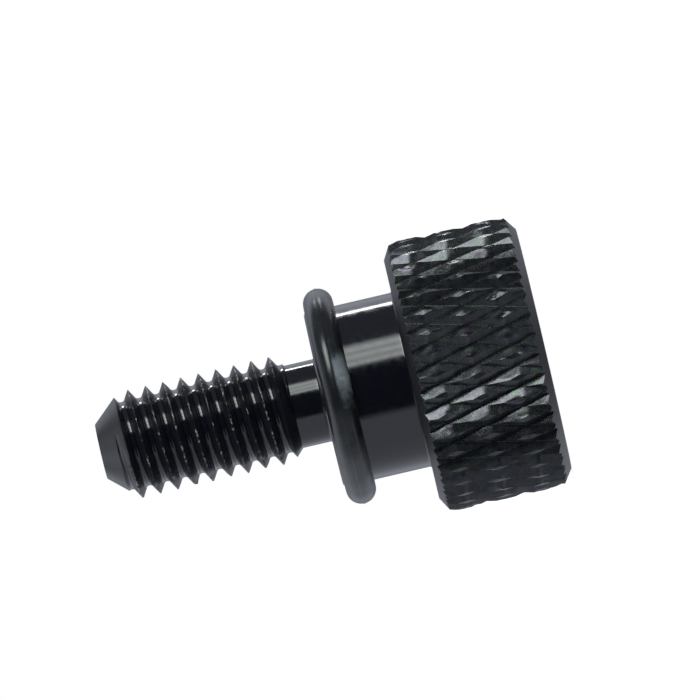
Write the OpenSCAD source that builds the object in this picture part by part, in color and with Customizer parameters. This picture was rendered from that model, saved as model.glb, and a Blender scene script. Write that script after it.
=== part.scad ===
// Thumb screw with a knurled head, a plain shoulder that carries a rubber O-ring, a thinner neck and an
// M5 thread with a bevelled tip. It stands on the flat end of its head, with the tip up.
// Lengths are in millimetres and angles in degrees. Heights are measured from the end of the head.

/* [Head] */
// Diameter over the knurl
head_d = 12.15; // [10:0.05:16]
// Length of the head
head_len = 6; // [3:0.05:12]
// Length of the bevel at the free end of the head
end_bevel_len = 0.46; // [0.1:0.01:1]
// Depth of the bevel at the free end of the head
end_bevel_depth = 0.63; // [0.1:0.01:1]
// Length of the bevel on the side of the shoulder
seat_bevel_len = 0.4; // [0.1:0.01:1]
// Depth of the bevel on the side of the shoulder
seat_bevel_depth = 0.65; // [0.1:0.01:0.9]

/* [Knurl] */
// Number of grooves each way round the head
knurl_count = 40; // [24:1:60]
// Angle between a groove and the axis
knurl_angle = 15.8; // [10:0.1:45]
// Depth of the grooves
knurl_depth = 0.3; // [0.1:0.01:0.4]
// Angle between the two walls of a groove
groove_angle = 90; // [60:1:95]

/* [Shoulder] */
// Diameter of the shoulder
shoulder_d = 7.9; // [7.5:0.05:9]
// Length of the shoulder under the head
shoulder_len = 4; // [2:0.05:12]
// Bevel at the free end of the shoulder
shoulder_bevel = 0.1; // [0.02:0.01:0.2]
// Radius of the fillet between the shoulder and the head
seat_fillet = 0.08; // [0.02:0.01:0.2]

/* [O-ring] */
// Thickness of the O-ring
ring_section = 1.35; // [1:0.05:1.8]
// Diameter at the bottom of the groove that holds the O-ring
ring_seat_d = 7.02; // [6:0.02:7.1]
// Clearance between the O-ring and its groove
ring_gap = 0.02; // [0.01:0.01:0.1]
// Metal left between the groove and the end of the shoulder
ring_lip = 0.03; // [0.02:0.01:0.5]

/* [Neck and thread] */
// Diameter of the neck
neck_d = 3.71; // [2.5:0.01:3.8]
// Length of the neck between the shoulder and the thread
neck_len = 1.35; // [0.5:0.01:6]
// Diameter over the crests of the thread
thread_d = 4.84; // [4.7:0.01:5]
// Length of the thread, with its bevelled tip
thread_len = 8.75; // [4:0.01:30]
// Distance from one crest to the next
thread_pitch = 0.8; // [0.5:0.05:0.9]
// Angle between the two flanks of the thread
thread_angle = 60; // [55:1:70]
// Width of the flat on each crest
crest_flat = 0.08; // [0.04:0.01:0.15]
// Radius at the root of the thread
root_radius = 0.115; // [0.05:0.005:0.12]
// Height of the first crest above the start of the thread, on the +X side
first_crest = 0.6; // [0:0.01:0.8]
// Diameter of the flat at the tip
tip_d = 2.35; // [1:0.05:3.4]

/* [Finish] */
// Colour of the screw
screw_colour = [0.16, 0.17, 0.18];
// Colour of the O-ring
ring_colour = [0.09, 0.09, 0.1];

/* [Hidden] */

$fn = 96;

// Heights along the axis
shoulder_end = head_len + shoulder_len;
thread_start = shoulder_end + neck_len;
overall_len = thread_start + thread_len;

// O-ring and its groove
ring_r = (ring_seat_d + ring_section) / 2 + ring_gap;
ring_groove = ring_section / 2 + ring_gap;
ring_z = shoulder_end - ring_lip - ring_groove;

// The grooves of the knurl leave a pyramid at each place between four crossings, and the turned blank
// cuts the pyramids off to diamonds. Two crossings on one groove are one row and one step apart.
knurl_steps = 2 * knurl_count;
groove_pitch = PI * head_d / knurl_count;
knurl_row = groove_pitch / 2 / tan(knurl_angle);
pyramid_height = groove_pitch * cos(knurl_angle) / 2 / tan(groove_angle / 2);
knurl_root_r = head_d / 2 - knurl_depth;
knurl_rows = ceil(head_len / 2 / knurl_row) + 1;

// The thread is one strip, a pitch high, wound up the axis from below the start to above the tip
thread_steps = 36;
thread_blank_r = thread_d / 2 + 0.2;
flank = thread_angle / 2;
crest_edge = (thread_pitch - crest_flat) / 2;
root_edge = root_radius * cos(flank);
root_edge_depth = (crest_edge - root_edge) / tan(flank);
thread_root_r = thread_d / 2 - root_edge_depth - root_radius * (1 - sin(flank));
crest_to_root = first_crest - thread_pitch / 2;
strip_start = thread_start + crest_to_root - thread_pitch * (floor(crest_to_root / thread_pitch + 1) + 1);
strip_turns = floor((overall_len - strip_start) / thread_pitch) + 2;

// Height and radius of each corner of the strip's section: half a root, a crest, and the next half root
root_arc = [for (a = [0, 0.5, 1] * (90 - flank))
    [root_radius * sin(a), thread_root_r + root_radius * (1 - cos(a))]];
section = concat(
    root_arc,
    [[crest_edge, thread_d / 2], [thread_pitch - crest_edge, thread_d / 2]],
    [for (i = [2, 1]) [thread_pitch - root_arc[i][0], root_arc[i][1]]]
);
corners = len(section);

// A point at an angle round the axis, a radius and a height
function around(angle, r, z) = [r * cos(angle), r * sin(angle), z];

// Grid of groove crossings and pyramid tops, in turn, closed by a point on the axis at each end
module knurl_form() {
    rows = 2 * knurl_rows + 1;
    function number(row, step) = row * knurl_steps + step % knurl_steps;
    function is_crossing(row, step) = (row - knurl_rows + step) % 2 == 0;
    grid = [for (row = [0 : rows - 1], step = [0 : knurl_steps - 1])
        around(step * 360 / knurl_steps,
               knurl_root_r + (is_crossing(row, step) ? 0 : pyramid_height),
               head_len / 2 + (row - knurl_rows) * knurl_row)];
    ends = [[0, 0, grid[0][2]], [0, 0, grid[len(grid) - 1][2]]];
    walls = [for (row = [0 : rows - 2], step = [0 : knurl_steps - 1])
        let (a = number(row, step), b = number(row + 1, step),
             c = number(row + 1, step + 1), d = number(row, step + 1))
        each is_crossing(row, step) ? [[a, b, c], [a, c, d]] : [[a, b, d], [b, c, d]]];
    caps = [for (step = [0 : knurl_steps - 1]) each [
        [len(grid), number(0, step), number(0, step + 1)],
        [len(grid) + 1, number(rows - 1, step + 1), number(rows - 1, step)]]];
    polyhedron(points = concat(grid, ends), faces = concat(walls, caps), convexity = 8);
}

// Strip of the thread's section, wound round the axis, with its first and last turn closed to the axis
module thread_form() {
    steps = (strip_turns - 1) * thread_steps;
    rise = thread_pitch / thread_steps;
    function corner(step, i) =
        i == corners ? corner(step + thread_steps, 0)
        : step <= steps ? step * corners + i
        : steps * corners + corners + step - steps - 1;
    wound = [for (step = [0 : steps], i = [0 : corners - 1])
        around(step * 360 / thread_steps, section[i][1], strip_start + step * rise + section[i][0])];
    last_edge = [for (step = [steps + 1 : steps + thread_steps])
        around(step * 360 / thread_steps, thread_root_r, strip_start + step * rise)];
    grid = concat(wound, last_edge);
    low = len(grid);
    high = low + 1;
    ends = [[0, 0, strip_start], [0, 0, strip_start + strip_turns * thread_pitch]];
    walls = [for (step = [0 : steps - 1], i = [0 : corners - 1]) each [
        [corner(step, i), corner(step, i + 1), corner(step + 1, i + 1)],
        [corner(step, i), corner(step + 1, i + 1), corner(step + 1, i)]]];
    edges = [for (step = [0 : thread_steps - 1]) each [
        [low, corner(step, 0), corner(step + 1, 0)],
        [high, corner(steps - step, corners), corner(steps - step - 1, corners)]]];
    sides = [for (i = [0 : corners - 1]) each [
        [low, corner(0, i + 1), corner(0, i)],
        [high, corner(steps, i), corner(steps, i + 1)]]];
    polyhedron(points = concat(grid, ends), faces = concat(walls, edges, sides), convexity = 8);
}

// Turned blank of the head, with its two bevels
module head_blank() {
    r = head_d / 2;
    rotate_extrude() polygon([
        [0, 0],
        [r - end_bevel_depth, 0],
        [r, end_bevel_len],
        [r, head_len - seat_bevel_len],
        [r - seat_bevel_depth, head_len],
        [0, head_len]
    ]);
}

// Turned blank of the thread, with a bevel at the neck and a bevelled tip
module thread_blank() {
    r = thread_blank_r;
    rotate_extrude() polygon([
        [0, thread_start],
        [neck_d / 2, thread_start],
        [r, thread_start + r - neck_d / 2],
        [r, overall_len - r + tip_d / 2],
        [tip_d / 2, overall_len],
        [0, overall_len]
    ]);
}

// Shoulder with the groove for the O-ring, and the neck
module shaft() {
    r = shoulder_d / 2;
    rotate_extrude() difference() {
        union() {
            polygon([
                [0, head_len / 2],
                [r, head_len / 2],
                [r, shoulder_end - shoulder_bevel],
                [r - shoulder_bevel, shoulder_end],
                [neck_d / 2, shoulder_end],
                [neck_d / 2, thread_start],
                [0, thread_start]
            ]);
            translate([r, head_len]) fillet_profile(seat_fillet);
        }
        translate([ring_r, ring_z]) circle(ring_groove);
    }
}

// Fills the corner at the origin between two walls along X and Y
module fillet_profile(radius) {
    difference() {
        square(radius);
        translate([radius, radius]) circle(radius);
    }
}

// The screw is turned from one bar, then knurled and threaded
module screw() {
    color(screw_colour) union() {
        intersection() {
            head_blank();
            knurl_form();
        }
        shaft();
        intersection() {
            thread_blank();
            thread_form();
        }
    }
}

// Rubber ring in the groove of the shoulder
module o_ring() {
    color(ring_colour)
        translate([0, 0, ring_z]) rotate_extrude() translate([ring_r, 0]) circle(ring_section / 2);
}

screw();
o_ring();
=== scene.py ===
"""Thumb screw with an O-ring: turned, knurled and threaded mesh, black finishes, camera and light."""
import math

import bmesh
import bpy
from mathutils import Matrix, Vector, noise


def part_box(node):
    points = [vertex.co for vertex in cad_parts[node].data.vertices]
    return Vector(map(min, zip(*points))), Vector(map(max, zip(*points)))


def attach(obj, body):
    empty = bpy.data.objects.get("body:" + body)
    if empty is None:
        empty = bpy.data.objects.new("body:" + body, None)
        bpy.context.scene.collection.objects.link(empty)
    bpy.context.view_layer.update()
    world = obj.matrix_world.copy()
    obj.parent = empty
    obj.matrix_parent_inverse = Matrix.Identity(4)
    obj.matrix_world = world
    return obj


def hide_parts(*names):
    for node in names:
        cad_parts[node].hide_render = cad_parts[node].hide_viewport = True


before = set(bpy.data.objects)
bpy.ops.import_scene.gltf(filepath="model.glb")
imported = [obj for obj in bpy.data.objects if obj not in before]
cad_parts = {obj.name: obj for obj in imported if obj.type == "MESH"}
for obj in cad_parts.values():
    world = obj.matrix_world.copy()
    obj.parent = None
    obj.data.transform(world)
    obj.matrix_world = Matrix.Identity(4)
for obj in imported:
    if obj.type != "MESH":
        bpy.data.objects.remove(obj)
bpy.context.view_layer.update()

# Sizes of the screw in metres, fitted to the photograph, most of them within 0.05 mm of its solid's.
# Heights are measured from the end of the head.
MM = 0.001
HEAD_R = 6.1 * MM
HEAD_LEN = 6.0 * MM
END_BEVEL = (0.46 * MM, 0.66 * MM)
SEAT_BEVEL = (0.4 * MM, 0.7 * MM)
KNURL_COUNT = 40
KNURL_ANGLE = math.radians(15.8)
KNURL_DEPTH = 0.3 * MM
KNURL_MIDDLE = 3.13 * MM
RISING_GROOVE = ((0, KNURL_DEPTH), (0.072 * MM, 0.8 * KNURL_DEPTH), (0.36 * MM, 0))
FALLING_GROOVE = ((0, 0.8 * KNURL_DEPTH), (0.005 * MM, 0.8 * KNURL_DEPTH), (0.33 * MM, 0))
SHOULDER_R = 3.95 * MM
SHOULDER_END = 10.0 * MM
SHOULDER_BEVEL = 0.1 * MM
SEAT_FILLET = 0.08 * MM
RING_GAP = 0.02 * MM
NECK_R = 1.87 * MM
NECK_FILLET = 0.1 * MM
THREAD_START = 11.35 * MM
THREAD_R = 2.4 * MM
PITCH = 0.8 * MM
FLANK = math.radians(27)
CREST_FLAT = 0.03 * MM
ROOT_R = 1.94 * MM
ROOT_RADIUS = 0.16 * MM
ROOT_FLAT = 0.02 * MM
FIRST_CREST = 0.6 * MM
NICKS = ((13.16 * MM, 0.15 * MM, 0), (16.4 * MM, 0.06 * MM, 0.1 * MM), (14.76 * MM, 0.05 * MM, 0.03 * MM))
TIP_R = 1.235 * MM
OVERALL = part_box("screw")[1][2]
FLOOR_Z = -0.01 * MM

# Place and thickness of the O-ring, read from its solid
ring_low, ring_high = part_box("o_ring")
RING_SECTION = (ring_high[2] - ring_low[2]) / 2
RING_Z = (ring_high[2] + ring_low[2]) / 2
RING_R = ring_high[0] - RING_SECTION

# Camera: distance from the axis, height over the floor, what it aims at, and how far it is rolled
PICTURE_WIDTH = 30.99 * MM
CAMERA_DISTANCE = 420 * MM
CAMERA_HEIGHT = 5.8 * MM
AIM = Vector((1.887, 0, 8.355)) * MM
AXIS_RISE = math.radians(13.12)

SHARP = math.radians(24)
TURNED_STEPS = 160
THREAD_STEPS = 96
WALL_STEPS = 7
FLAT_STEPS = 7
EXACT = 1e-7


# Shaping

def corner(radius, height):
    """Corner of a turned outline, in the XZ plane."""
    return Vector((radius, 0, height))


def arc(centre, radius, start, end, steps):
    """Arc in an outline, between two angles in degrees."""
    angles = [math.radians(start + (end - start) * i / steps) for i in range(steps + 1)]
    return [corner(centre[0] + radius * math.cos(a), centre[1] + radius * math.sin(a)) for a in angles]


def radius_of(point):
    return math.hypot(point.x, point.y)


def set_radius(vert, radius):
    """Moves a vertex along its own radius."""
    scale = radius / radius_of(vert.co)
    vert.co.x *= scale
    vert.co.y *= scale


def roughness_at(point, size):
    """Smooth random value from -1 to 1 that changes over a given length."""
    return noise.noise(point / size)


def turn(bm, outline, steps, closed=False):
    """Turns an outline once round the axis."""
    verts = [bm.verts.new(p) for p in outline]
    ends = verts[1:] + verts[:1] if closed else verts[1:]
    edges = [bm.edges.new(pair) for pair in zip(verts, ends)]
    bmesh.ops.spin(bm, geom=verts + edges, cent=(0, 0, 0), axis=(0, 0, 1), angle=math.tau, steps=steps,
                   use_merge=True)


def rim(bm, height, radius):
    """Edges of the round opening at a height, of about a radius, with their ends brought to that height."""
    def on_rim(vert):
        return abs(vert.co.z - height) < 0.004 * MM and abs(radius_of(vert.co) - radius) < 0.02 * MM
    edges = [e for e in bm.edges if e.is_boundary and all(on_rim(v) for v in e.verts)]
    for edge in edges:
        for vert in edge.verts:
            vert.co.z = height
    return edges


def cut_flat(bm, height, keep_above):
    geom = bm.verts[:] + bm.edges[:] + bm.faces[:]
    bmesh.ops.bisect_plane(bm, geom=geom, dist=EXACT, plane_co=(0, 0, height), plane_no=(0, 0, 1),
                           clear_inner=keep_above, clear_outer=not keep_above)


def with_borders(faces):
    """Faces with their edges and vertices, each once, in a fixed order."""
    edges = {e.index: e for f in faces for e in f.edges}
    verts = {v.index: v for f in faces for v in f.verts}
    return list(faces) + list(edges.values()) + list(verts.values())


def columns(bm, count, low, high):
    """Faces between two heights, sorted by their place round the axis."""
    found = [[] for _ in range(count)]
    for face in bm.faces:
        heights = [v.co.z for v in face.verts]
        if max(heights) > low and min(heights) < high:
            middle = face.calc_center_median()
            place = math.atan2(middle.y, middle.x) / math.tau % 1.0
            found[min(int(place * count), count - 1)].append(face)
    return found


def cone_radius(height, low, high):
    """Radius of a cone at a height, from its radius and height at two ends."""
    return low[0] + (high[0] - low[0]) * (height - low[1]) / (high[1] - low[1])


def turn_down(bm, count, low, high):
    """Turns what lies outside a cone down to it, with an edge where the two surfaces meet."""
    slope = (high[0] - low[0]) / (high[1] - low[1])
    for index, faces in enumerate(columns(bm, count, low[1], high[1])):
        angle = (index + 0.5) * math.tau / count
        out = Vector((math.cos(angle), math.sin(angle), 0))
        bm.verts.index_update()
        bm.edges.index_update()
        bmesh.ops.bisect_plane(bm, geom=with_borders(faces), dist=EXACT, plane_co=out * low[0] + Vector((0, 0, low[1])),
                               plane_no=out - Vector((0, 0, slope)))
    for vert in bm.verts:
        if low[1] - EXACT <= vert.co.z <= high[1] + EXACT:
            limit = cone_radius(vert.co.z, low, high)
            if radius_of(vert.co) > limit:
                set_radius(vert, limit)
    bmesh.ops.remove_doubles(bm, verts=bm.verts, dist=0.002 * MM)


# Screw

END_CONE = ((HEAD_R - END_BEVEL[1], 0), (HEAD_R, END_BEVEL[0]))
SEAT_CONE = ((HEAD_R, HEAD_LEN - SEAT_BEVEL[0]), (HEAD_R - SEAT_BEVEL[1], HEAD_LEN))
NECK_CONE = ((NECK_R, THREAD_START), (NECK_R + MM, THREAD_START + MM))
TIP_CONE = ((TIP_R + 1.8 * MM, OVERALL - 2 * MM), (TIP_R, OVERALL))


def across(groove, width):
    """Places over a diamond, from the middle of one groove to the next, with the depth at each."""
    middle, bend, brink = (Vector(p) for p in groove)
    wall = [middle] + [bend.lerp(brink, step / (WALL_STEPS - 1)) for step in range(WALL_STEPS)]
    flat = [brink.lerp(Vector((width - brink.x, 0)), step / FLAT_STEPS) for step in range(1, FLAT_STEPS)]
    return wall + flat + [Vector((width - p.x, p.y)) for p in reversed(wall)]


def knurled_ring(bm):
    """One column of diamonds, each between four grooves and folded at its corners, repeated round the head."""
    width = math.tau * HEAD_R / KNURL_COUNT
    row = width / 2 / math.tan(KNURL_ANGLE)
    span = width * math.cos(KNURL_ANGLE)
    rising, falling = across(RISING_GROOVE, span), across(FALLING_GROOVE, span)
    steps = len(rising) - 1

    def on_fold(point):
        return abs(abs(point.x) - abs(point.y)) < EXACT

    for level in range(-3, 2):
        before = len(bm.faces)
        cell = bmesh.ops.create_grid(bm, x_segments=steps, y_segments=steps, size=0.5)["verts"]
        for face in bm.faces[before:]:
            corners = [v for v in face.verts if on_fold(v.co)]
            if len(corners) == 2 and on_fold(face.calc_center_median()):
                bmesh.utils.face_split(face, *corners)
        for vert in cell:
            a = rising[round((vert.co.x + 0.5) * steps)]
            b = falling[round((vert.co.y + 0.5) * steps)]
            radius = HEAD_R - max(a.y, b.y)
            angle = width / 2 * ((a.x - b.x) / span + level % 2) / HEAD_R
            height = KNURL_MIDDLE + row * (level + (a.x + b.x) / span)
            vert.co = Vector((radius * math.cos(angle), radius * math.sin(angle), height))
    bmesh.ops.spin(bm, geom=bm.verts[:] + bm.edges[:] + bm.faces[:], cent=(0, 0, 0), axis=(0, 0, 1),
                   angle=math.tau * (KNURL_COUNT - 1) / KNURL_COUNT, steps=KNURL_COUNT - 1, use_duplicate=True)
    bmesh.ops.remove_doubles(bm, verts=bm.verts, dist=0.001 * MM)


def wander(bm):
    """Moves the grooves a little out of line, as rolls that slip leave them."""
    for vert in bm.verts:
        height = roughness_at(vert.co, 0.7 * MM) * 0.03 * MM
        angle = roughness_at(vert.co + Vector((0, 0, 30 * MM)), 0.7 * MM) * 0.03 * MM / HEAD_R
        vert.co = Matrix.Rotation(angle, 3, "Z") @ vert.co + Vector((0, 0, height))


def roughen_knurl(bm):
    """Torn and uneven surfaces, as rolled knurling leaves them. The grooves stay where they are."""
    for vert in bm.verts:
        point = vert.co
        radius = radius_of(point)
        if not END_BEVEL[0] * 0.5 < point.z < HEAD_LEN - SEAT_BEVEL[0] * 0.5:
            continue
        if point.z < END_BEVEL[0] and radius > cone_radius(point.z, *END_CONE) - 0.01 * MM:
            continue
        if point.z > HEAD_LEN - SEAT_BEVEL[0] and radius > cone_radius(point.z, *SEAT_CONE) - 0.01 * MM:
            continue
        height = max(0.0, (radius - HEAD_R + KNURL_DEPTH) / KNURL_DEPTH)
        coarse = roughness_at(point, 0.3 * MM)
        fine = roughness_at(point + Vector((0, 0, 9 * MM)), 0.11 * MM)
        tear = max(0.0, roughness_at(point + Vector((0, 0, 20 * MM)), 0.55 * MM) - 0.2)
        torn = (0.006 * fine + 0.16 * tear) * height ** 3 + 0.02 * coarse * height
        set_radius(vert, radius - torn * MM)


def thread_section():
    """Outline of the thread over one pitch, from the middle of a root to the next one."""
    root = corner(ROOT_R, 0)
    bend = arc((ROOT_R + ROOT_RADIUS, ROOT_FLAT), ROOT_RADIUS, 180, 90 + math.degrees(FLANK), 5)
    crest = [corner(THREAD_R - 0.012 * MM, PITCH / 2 - CREST_FLAT / 2 - 0.006 * MM), corner(THREAD_R, PITCH / 2 - CREST_FLAT / 2)]
    middle = [bend[-1].lerp(crest[0], 0.5)]
    half = [root] + bend + middle + crest
    return half + [corner(p.x, PITCH - p.z) for p in reversed(half)]


def threaded_end(bm):
    """Strip of the thread's section wound up the axis, with a bevel at each end and a flat tip."""
    first_root = THREAD_START + FIRST_CREST - PITCH / 2 - 2 * PITCH
    turns = math.ceil((OVERALL - first_root) / PITCH)
    verts = [bm.verts.new(p + Vector((0, 0, first_root))) for p in thread_section()]
    edges = [bm.edges.new(pair) for pair in zip(verts, verts[1:])]
    bmesh.ops.spin(bm, geom=verts + edges, cent=(0, 0, 0), axis=(0, 0, 1), angle=math.tau * turns,
                   steps=THREAD_STEPS * turns, dvec=(0, 0, PITCH / THREAD_STEPS))
    bmesh.ops.remove_doubles(bm, verts=bm.verts, dist=0.001 * MM)
    for vert in bm.verts:
        height = (radius_of(vert.co) - THREAD_R + 0.15 * MM) / (0.15 * MM)
        if height > 0:
            nick = max(0.0, roughness_at(vert.co, 0.35 * MM) - 0.15) * 0.2 * MM
            vert.co.z += height * 0.03 * MM * roughness_at(vert.co + Vector((0, 0, MM)), 0.6 * MM)
            set_radius(vert, radius_of(vert.co) - height * nick)
        for place, depth, bend in NICKS:
            near = max(0.0, 1 - (vert.co - Vector((-THREAD_R, 0, place))).length / (0.4 * MM))
            vert.co.z -= near * bend
            set_radius(vert, radius_of(vert.co) - near * depth)
    cut_flat(bm, THREAD_START, True)
    cut_flat(bm, OVERALL, False)
    turn_down(bm, THREAD_STEPS, *NECK_CONE)
    turn_down(bm, THREAD_STEPS, *TIP_CONE)
    bmesh.ops.contextual_create(bm, geom=rim(bm, OVERALL, TIP_R))


def shaft_outline():
    """Outline from the start of the thread down the neck and the shoulder to the seat of the head."""
    groove = RING_SECTION + RING_GAP
    reach = math.degrees(math.acos((SHOULDER_R - RING_R) / groove))
    neck = (NECK_R + NECK_FILLET, SHOULDER_END + NECK_FILLET)
    seat = (SHOULDER_R + SEAT_FILLET, HEAD_LEN + SEAT_FILLET)
    shoulder = [corner(SHOULDER_R, HEAD_LEN + (0.3 + 0.2 * i) * MM) for i in range(11)]
    return (
        [corner(NECK_R, THREAD_START - 0.02 * MM)]
        + [corner(NECK_R, SHOULDER_END + NECK_FILLET + 0.2 * i * MM) for i in range(6, 0, -1)]
        + arc(neck, NECK_FILLET, 180, 270, 6)
        + [corner(SHOULDER_R - SHOULDER_BEVEL, SHOULDER_END)]
        + arc((RING_R, RING_Z), groove, reach, 360 - reach, 24)
        + shoulder[::-1]
        + arc(seat, SEAT_FILLET, 180, 270, 6)
    )


def join(bm, other):
    """Adds another mesh to this one."""
    mesh = bpy.data.meshes.new("joined")
    other.to_mesh(mesh)
    other.free()
    bm.from_mesh(mesh)
    bpy.data.meshes.remove(mesh)


def close_gap(bm, first, second):
    """Joins two round openings that face each other."""
    bmesh.ops.bridge_loops(bm, edges=first + second)


def build_screw():
    bm = bmesh.new()
    knurled_ring(bm)
    wander(bm)
    cut_flat(bm, 0, True)
    cut_flat(bm, HEAD_LEN, False)
    turn_down(bm, 2 * KNURL_COUNT, *END_CONE)
    turn_down(bm, 2 * KNURL_COUNT, *SEAT_CONE)
    roughen_knurl(bm)
    bmesh.ops.contextual_create(bm, geom=rim(bm, 0, END_CONE[0][0]))
    shaft = bmesh.new()
    turn(shaft, shaft_outline(), TURNED_STEPS)
    join(bm, shaft)
    close_gap(bm, rim(bm, HEAD_LEN, SEAT_CONE[1][0]), rim(bm, HEAD_LEN, SHOULDER_R + SEAT_FILLET))
    end = bmesh.new()
    threaded_end(end)
    join(bm, end)
    close_gap(bm, rim(bm, THREAD_START, NECK_R), rim(bm, THREAD_START - 0.02 * MM, NECK_R))
    bmesh.ops.recalc_face_normals(bm, faces=bm.faces)
    print("screw:", len(bm.faces), "faces,", sum(not e.is_manifold for e in bm.edges), "open edges")
    return bm


def build_ring():
    """O-ring with the fine ridge that its mould leaves round the outside."""
    outline = []
    for step in range(72):
        angle = step * math.tau / 72
        ridge = 0.018 * MM if step == 0 else 0
        mismatch = 0.006 * MM if 0 < step <= 18 else 0
        radius = RING_SECTION - 0.004 * MM + ridge - mismatch
        outline.append(corner(RING_R + radius * math.cos(angle), RING_Z + radius * math.sin(angle)))
    bm = bmesh.new()
    turn(bm, outline, 2 * TURNED_STEPS, closed=True)
    bmesh.ops.recalc_face_normals(bm, faces=bm.faces)
    return bm


def place_piece(bm, name):
    """Makes an object of a mesh, smooth apart from its sharp edges."""
    for face in bm.faces:
        face.smooth = True
    for edge in bm.edges:
        edge.smooth = not edge.is_manifold or edge.calc_face_angle() < SHARP
    mesh = bpy.data.meshes.new(name)
    bm.to_mesh(mesh)
    bm.free()
    piece = bpy.data.objects.new(name, mesh)
    bpy.context.scene.collection.objects.link(piece)
    return piece


# Finishes

def add(tree, kind, feeds=None, **settings):
    """Adds a shader node with its settings. Each feed is a value or another node's output."""
    made = tree.nodes.new(kind)
    for name, value in settings.items():
        setattr(made, name, value)
    for name, value in (feeds or {}).items():
        if isinstance(value, bpy.types.NodeSocket):
            tree.links.new(value, made.inputs[name])
        else:
            made.inputs[name].default_value = value
    return made


def texture(tree, scale, detail=2, stretch=(1, 1, 1)):
    """Random pattern with a size in metres, stretched along the axes of the piece."""
    where = add(tree, "ShaderNodeTexCoord").outputs["Object"]
    mapped = add(tree, "ShaderNodeMapping", {"Vector": where, "Scale": [s / scale for s in stretch]})
    return add(tree, "ShaderNodeTexNoise", {"Vector": mapped.outputs["Vector"], "Scale": 1, "Detail": detail}).outputs["Fac"]


def ranged(tree, value, low, high, start, end):
    """Takes a value from one range to another, and keeps it inside the second."""
    feeds = {"Value": value, "From Min": low, "From Max": high, "To Min": start, "To Max": end}
    return add(tree, "ShaderNodeMapRange", feeds).outputs["Result"]


def blended(tree, factor, first, second):
    """Colour between two others, each a value or another node's output."""
    mix = add(tree, "ShaderNodeMix", data_type="RGBA")
    for name, value in {"Factor": factor, "A": first, "B": second}.items():
        socket = next(s for s in mix.inputs if s.name == name and s.enabled)
        if isinstance(value, bpy.types.NodeSocket):
            tree.links.new(value, socket)
        else:
            socket.default_value = (*value, 1)
    return next(s for s in mix.outputs if s.enabled)


def product(tree, first, second):
    return add(tree, "ShaderNodeMath", {0: first, 1: second}, operation="MULTIPLY").outputs[0]


def part(tree, value, start, end, soft):
    """1 between two values, with soft edges, and 0 outside them."""
    rise = ranged(tree, value, start - soft, start + soft, 0, 1)
    fall = ranged(tree, value, end - soft, end + soft, 1, 0)
    return product(tree, rise, fall)


def relief(tree, height, depth, under=None):
    """Bump of a depth in metres."""
    feeds = {"Height": height, "Distance": depth, "Strength": 1.0}
    if under:
        feeds["Normal"] = under
    return add(tree, "ShaderNodeBump", feeds).outputs["Normal"]


def finish_of(name, ior):
    material = bpy.data.materials.new(name)
    material.use_nodes = True
    tree = material.node_tree
    shader = tree.nodes["Principled BSDF"]
    shader.inputs["IOR"].default_value = ior
    return material, tree, shader


def feed(tree, shader, **sockets):
    for name, value in sockets.items():
        tree.links.new(value, shader.inputs[name.replace("_", " ")])


def turned_black():
    """Glossy black anodised metal with fine marks of the turning tool."""
    material, tree, shader = finish_of("turned_black", 1.6)
    rings = texture(tree, 0.09 * MM, 2, (0.03, 0.03, 1))
    grain = texture(tree, 0.25 * MM, 3)
    colour = blended(tree, grain, (0.003, 0.003, 0.008), (0.007, 0.007, 0.013))
    waves = relief(tree, texture(tree, 0.35 * MM, 2, (1, 1, 2)), 0.0018 * MM)
    feed(tree, shader, Base_Color=colour, Roughness=ranged(tree, grain, 0.3, 0.7, 0.07, 0.17),
         Normal=relief(tree, rings, 0.0003 * MM, waves))
    return material


def knurled_black():
    """Duller black of the torn surface of the knurling, in greyer and darker patches at random."""
    material, tree, shader = finish_of("knurled_black", 1.68)
    coarse = texture(tree, 0.3 * MM, 3)
    fine = texture(tree, 0.08 * MM, 4)
    colour = blended(tree, ranged(tree, coarse, 0.35, 0.65, 0, 1), (0.009, 0.007, 0.015), (0.02, 0.027, 0.023))
    tint = blended(tree, ranged(tree, texture(tree, 0.45 * MM), 0.4, 0.6, 0, 1), (0.93, 0.84, 1), (0.88, 1, 0.92))
    rough = relief(tree, coarse, 0.008 * MM)
    feed(tree, shader, Base_Color=colour, Specular_Tint=tint, Roughness=ranged(tree, fine, 0.3, 0.7, 0.2, 0.34),
         Normal=relief(tree, fine, 0.004 * MM, rough))
    return material


def bevel_black():
    """Satin black of the bevels and the tip."""
    material, tree, shader = finish_of("bevel_black", 1.6)
    grain = texture(tree, 0.12 * MM, 3)
    colour = blended(tree, grain, (0.006, 0.006, 0.009), (0.01, 0.01, 0.013))
    feed(tree, shader, Base_Color=colour, Roughness=ranged(tree, grain, 0.3, 0.7, 0.28, 0.38),
         Normal=relief(tree, grain, 0.003 * MM))
    return material


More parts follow.
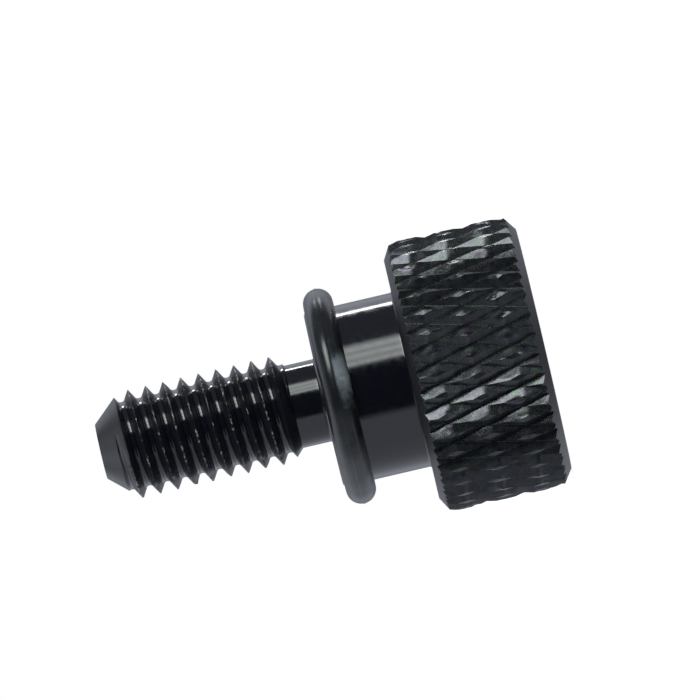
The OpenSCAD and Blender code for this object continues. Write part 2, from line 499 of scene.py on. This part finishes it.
def flank_black():
    """Duller black of the flanks of the thread, with specks where it has worn off the crests."""
    material, tree, shader = finish_of("flank_black", 1.4)
    specks = texture(tree, 0.14 * MM, 2)
    grain = texture(tree, 0.05 * MM, 2)
    where = add(tree, "ShaderNodeSeparateXYZ", {"Vector": add(tree, "ShaderNodeTexCoord").outputs["Object"]}).outputs
    square = add(tree, "ShaderNodeMath", {0: where["Y"], 1: where["Y"]}, operation="MULTIPLY").outputs[0]
    square = add(tree, "ShaderNodeMath", {0: where["X"], 1: where["X"], 2: square}, operation="MULTIPLY_ADD").outputs[0]
    radius = add(tree, "ShaderNodeMath", {0: square}, operation="SQRT").outputs[0]
    worn = product(tree, ranged(tree, radius, THREAD_R - 0.07 * MM, THREAD_R - 0.03 * MM, 0, 1),
                   ranged(tree, specks, 0.5, 0.58, 0, 1))
    worn = product(tree, worn, ranged(tree, texture(tree, 0.8 * MM, 1), 0.46, 0.56, 0, 1))
    colour = blended(tree, worn, (0.012, 0.012, 0.017), (0.34, 0.34, 0.32))
    feed(tree, shader, Base_Color=colour, Roughness=ranged(tree, grain, 0.3, 0.7, 0.24, 0.36),
         Normal=relief(tree, grain, 0.003 * MM))
    return material


def black_rubber():
    """Satin rubber, with a painted highlight on the half towards the head where it faces the camera, and a painted
    reflection of light from below on its lower side, which is also rougher.
    """
    material, tree, shader = finish_of("black_rubber", 1.52)
    cloud = texture(tree, 0.9 * MM, 4)
    grain = texture(tree, 0.06 * MM, 3)
    where = add(tree, "ShaderNodeSeparateXYZ", {"Vector": add(tree, "ShaderNodeTexCoord").outputs["Object"]}).outputs
    front = product(tree, where["Y"], -1.0)
    angle = add(tree, "ShaderNodeMath", {0: where["X"], 1: front}, operation="ARCTAN2").outputs[0]
    angle = add(tree, "ShaderNodeMath", {0: angle, 1: ranged(tree, cloud, 0.3, 0.7, -0.12, 0.12)}, operation="ADD").outputs[0]
    # Painted highlight: a pale patch on the head-side half, round the side that faces the camera, stands in for a
    # reflection.
    half = ranged(tree, where["Z"], RING_Z - 0.1 * MM, RING_Z, 1, 0)
    high = product(tree, ranged(tree, angle, -0.15, 0.2, 0, 1), ranged(tree, angle, 0.26, 0.5, 1, 0))
    high = product(tree, product(tree, high, high), ranged(tree, cloud, 0.35, 0.65, 0.6, 1))
    high = product(tree, high, half)
    # Painted reflection: the lower side that faces the camera is made lighter, as if it reflected a pale surface below;
    # the same mask also makes it rougher.
    low = part(tree, angle, -1.3, -0.55, 0.2)
    colour = blended(tree, cloud, (0.008, 0.009, 0.011), (0.018, 0.02, 0.022))
    # The lighter lower colour is a painted reflection of light from below, not the rubber's own colour.
    colour = blended(tree, low, colour, (0.1, 0.102, 0.102))
    # The pale colour here is a painted highlight, not the rubber's own colour.
    colour = blended(tree, high, colour, (0.34, 0.38, 0.41))
    shine = ranged(tree, cloud, 0.3, 0.7, 0.2, 0.32)
    dull = add(tree, "ShaderNodeMath", {0: low, 1: 0.2, 2: shine}, operation="MULTIPLY_ADD").outputs[0]
    feed(tree, shader, Base_Color=colour, Roughness=dull, Normal=relief(tree, grain, 0.003 * MM))
    return material


def dress(piece, finishes, pick):
    """Gives a piece its finishes, with one picked for each face by its middle."""
    for finish in finishes:
        piece.data.materials.append(finish)
    for polygon in piece.data.polygons:
        polygon.material_index = pick(polygon.center, polygon.normal)


def finish_of_screw(middle, normal):
    """Turned 0, knurled 1, satin 2, or flank 3."""
    radius = radius_of(middle)
    if middle.z < HEAD_LEN + 0.01 * MM:
        on_bevel = middle.z < END_BEVEL[0] and radius > cone_radius(middle.z, *END_CONE) - 0.01 * MM
        on_bevel |= middle.z > HEAD_LEN - SEAT_BEVEL[0] and radius > cone_radius(middle.z, *SEAT_CONE) - 0.01 * MM
        return 2 if on_bevel or abs(normal.z) > 0.95 else 1
    on_tip = middle.z > OVERALL - 2 * MM and radius > cone_radius(middle.z, *TIP_CONE) - 0.02 * MM
    if on_tip:
        return 2 if radius < THREAD_R - 0.15 * MM else 3
    return 3 if middle.z > THREAD_START and radius > ROOT_R + 0.09 * MM else 0


# Stage, light and camera

def room():
    """White room with a dark side behind the camera, a large window and a narrow lamp above it."""
    world = bpy.data.worlds.new("white_room")
    bpy.context.scene.world = world
    world.use_nodes = True
    tree = world.node_tree
    back = tree.nodes["Background"]
    way = add(tree, "ShaderNodeSeparateXYZ", {"Vector": add(tree, "ShaderNodeTexCoord").outputs["Generated"]}).outputs
    angle = add(tree, "ShaderNodeMath", {0: way["X"], 1: way["Y"]}, operation="ARCTAN2").outputs[0]
    turns = add(tree, "ShaderNodeMath", {0: angle, 1: 1 / math.tau, 2: 0.5}, operation="MULTIPLY_ADD").outputs[0]

    def coloured(value, colour):
        return add(tree, "ShaderNodeVectorMath", {0: value, 1: colour}, operation="MULTIPLY").outputs["Vector"]

    def total(first, second):
        return add(tree, "ShaderNodeVectorMath", {0: first, 1: second}, operation="ADD").outputs["Vector"]

    walls = add(tree, "ShaderNodeValToRGB", {"Fac": turns})
    ramp = walls.color_ramp
    stops = [(0.0, 0.03), (0.086, 0.03), (0.108, 0.7), (0.3, 0.6), (0.41, 0.8), (0.46, 0.35), (0.54, 0.35),
             (0.59, 0.9), (0.64, 1.0), (0.66, 0.13), (0.8, 0.22), (0.9, 0.03)]
    ramp.elements[0].position, ramp.elements[1].position = stops[0][0], stops[-1][0]
    for place, _ in stops[1:-1]:
        ramp.elements.new(place)
    for element, (_, level) in zip(ramp.elements, stops):
        element.color = (level, level, level, 1)
    ceiling = ranged(tree, way["Z"], 0.83, 0.97, 0, 0.6)
    stripes = add(tree, "ShaderNodeMath", {0: turns, 1: math.tau / 0.028, 2: 1.0}, operation="MULTIPLY_ADD").outputs[0]
    stripes = add(tree, "ShaderNodeMath", {0: stripes}, operation="SINE").outputs[0]
    stripes = ranged(tree, stripes, -1, 1, 0.75, 1.25)
    window = product(tree, part(tree, turns, 0.824, 0.907, 0.007), stripes)
    window = product(tree, window, ranged(tree, way["Z"], 0.08, 0.24, 4.0, 7.8))
    window = product(tree, window, part(tree, way["Z"], -0.12, 0.51, 0.05))
    lamp = product(tree, part(tree, turns, 0.646, 0.661, 0.002), product(tree, part(tree, way["Z"], -0.17, 0.17, 0.04), 17.0))
    below = ranged(tree, way["Z"], -0.95, -0.8, 0.1, 0)
    aside = add(tree, "ShaderNodeMath", {0: way["Z"]}, operation="ABSOLUTE").outputs[0]
    slanted = part(tree, aside, 0.2, 0.75, 0.07)
    change = product(tree, slanted, part(tree, turns, 0.1, 0.48, 0.03))
    change = product(tree, change, ranged(tree, turns, 0.18, 0.3, -0.65, 0.3))
    change = add(tree, "ShaderNodeMath", {0: change, 1: 1.0}, operation="ADD").outputs[0]
    change = product(tree, change, ranged(tree, way["Z"], -0.95, -0.75, 0.6, 1))
    lift = product(tree, slanted, product(tree, part(tree, turns, 0.055, 0.1, 0.02), 0.4))
    bright = total(product(tree, walls.outputs["Color"], change), lift)
    around = total(coloured(bright, (0.93, 0.99, 1.12)), coloured(ceiling, (0.95, 1.0, 1.08)))
    light = total(total(around, coloured(window, (0.95, 1.03, 1.0))), total(below, lamp))
    seen = add(tree, "ShaderNodeLightPath").outputs["Is Camera Ray"]
    tree.links.new(blended(tree, seen, light, (1, 1, 1)), back.inputs["Color"])
    back.inputs["Strength"].default_value = 1.0


def pale_floor():
    """Pale floor just under the head, that keeps the shadow. Reflections and a look from below don't show it."""
    bm = bmesh.new()
    bmesh.ops.create_grid(bm, x_segments=1, y_segments=1, size=1.5, matrix=Matrix.Translation((0, 0, FLOOR_Z)))
    floor = place_piece(bm, "floor")
    material, tree, shader = finish_of("pale_floor", 1.45)
    shader.inputs["Base Color"].default_value = (0.4, 0.4, 0.4, 1)
    shader.inputs["Roughness"].default_value = 0.9
    shader.inputs["Specular IOR Level"].default_value = 0.0
    shader.inputs["Emission Color"].default_value = (1, 1, 1, 1)
    path = add(tree, "ShaderNodeLightPath").outputs
    tree.links.new(product(tree, path["Is Camera Ray"], 0.85), shader.inputs["Emission Strength"])
    clear = add(tree, "ShaderNodeBsdfTransparent").outputs["BSDF"]
    below = add(tree, "ShaderNodeNewGeometry").outputs["Backfacing"]
    unseen = add(tree, "ShaderNodeMath", {0: path["Is Glossy Ray"], 1: below}, operation="MAXIMUM").outputs[0]
    mixed = add(tree, "ShaderNodeMixShader", {0: unseen, 1: shader.outputs["BSDF"], 2: clear})
    tree.links.new(mixed.outputs["Shader"], tree.nodes["Material Output"].inputs["Surface"])
    floor.data.materials.append(material)


def camera():
    """Camera square to the axis, rolled so that the axis rises to the right."""
    data = bpy.data.cameras.new("camera")
    data.sensor_width = 36
    data.lens = 36 * CAMERA_DISTANCE / PICTURE_WIDTH
    data.clip_start = 0.01
    eye = bpy.data.objects.new("camera", data)
    bpy.context.scene.collection.objects.link(eye)
    place = Vector((AIM.x, -CAMERA_DISTANCE, CAMERA_HEIGHT))
    back = (place - AIM).normalized()
    right = Vector((-math.sin(AXIS_RISE), 0, -math.cos(AXIS_RISE)))
    right = (right - back * right.dot(back)).normalized()
    eye.matrix_world = Matrix.Translation(place) @ Matrix((right, back.cross(right), back)).transposed().to_4x4()
    bpy.context.scene.camera = eye


camera()
room()
pale_floor()
screw = place_piece(build_screw(), "turned_screw")
dress(screw, [turned_black(), knurled_black(), bevel_black(), flank_black()], finish_of_screw)
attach(screw, "root")
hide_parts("screw")
ring = place_piece(build_ring(), "rubber_ring")
dress(ring, [black_rubber()], lambda middle, normal: 0)
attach(ring, "root")
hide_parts("o_ring")
bpy.context.scene.view_settings.view_transform = "Standard"
